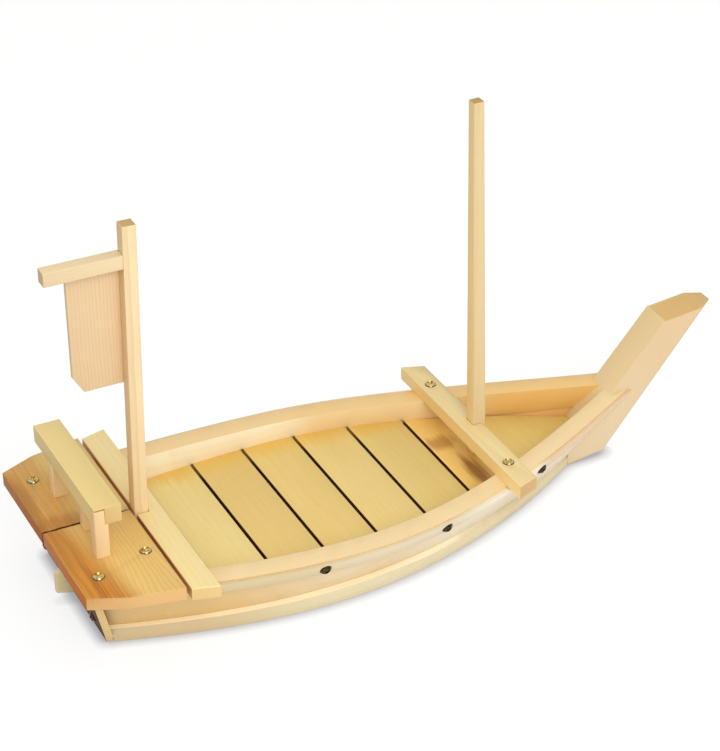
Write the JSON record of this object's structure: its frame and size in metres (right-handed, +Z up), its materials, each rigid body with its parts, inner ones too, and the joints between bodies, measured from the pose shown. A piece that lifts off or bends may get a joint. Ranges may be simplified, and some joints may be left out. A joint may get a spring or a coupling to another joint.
{
  "type": "sushi boat",
  "caption": "Boat-shaped wooden serving platter with a slatted tray floor, decked stern with a bench, raked stem, lift-out mast and lift-out flag.",
  "frame": {"origin": "middle of the bounding box's bottom, on the plane that the bottom board rests on", "axes": "+X to the bow, +Y to port, +Z up"},
  "size_m": [0.6, 0.242, 0.3515],
  "materials": {
    "screw": "satin metal",
    "rail": "plain wood, satin",
    "upper_plank": "plain wood, satin",
    "lower_plank": "plain wood, satin",
    "slat": "plain wood, satin",
    "bow_floor": "plain wood, satin",
    "deck": "plain wood, satin",
    "cross_beam": "plain wood, satin",
    "stem": "plain wood, satin",
    "bench_beam": "plain wood, satin",
    "bench_leg": "plain wood, satin",
    "stick": "plain wood, satin",
    "flag": "plain wood, satin",
    "bottom": "plain wood, satin",
    "inner": "plain wood, satin"
  },
  "bodies": {
    "hull": {"bottom_board": "bottom", "transom": "bottom", "rudder_board": "bottom", "stem_post": "stem", "bow_block": "inner", "lower_plank_starboard": "lower_plank", "lower_plank_port": "lower_plank", "upper_plank_starboard": "upper_plank", "upper_plank_port": "upper_plank", "rail_starboard": "rail", "rail_port": "rail", "floor_stringer_starboard": "inner", "floor_stringer_port": "inner", "floor_slat_1": "slat", "floor_slat_2": "slat", "floor_slat_3": "slat", "floor_slat_4": "slat", "floor_slat_5": "slat", "floor_slat_6": "slat", "floor_slat_7": "slat", "bow_floor": "bow_floor", "stern_deck_starboard": "deck", "stern_deck_port": "deck", "deck_cleat": "inner", "stern_beam": "cross_beam", "mast_thwart": "cross_beam", "mast_step": "inner", "flag_step_block": "inner", "bench_beam": "bench_beam", "bench_leg_starboard": "bench_leg", "bench_leg_middle": "bench_leg", "bench_leg_port": "bench_leg", "deck_screws": "screw", "thwart_screws": "screw", "side_screws_starboard": "screw", "side_screws_port": "screw", "transom_screws": "screw"},
    "mast": {"mast": "stick"},
    "flag": {"flag_post": "stick", "flag_crossbar": "stick", "flag_board": "flag"}
  },
  "joints": [
    {"name": "mast_lift", "type": "slide", "parent": "hull", "child": "mast", "axis": [-0.0209, 0, 0.9998], "range_m": [0, 0.016]},
    {"name": "flag_lift", "type": "slide", "parent": "hull", "child": "flag", "axis": [0.0192, 0, 0.9998], "range_m": [0, 0.016]}
  ]
}
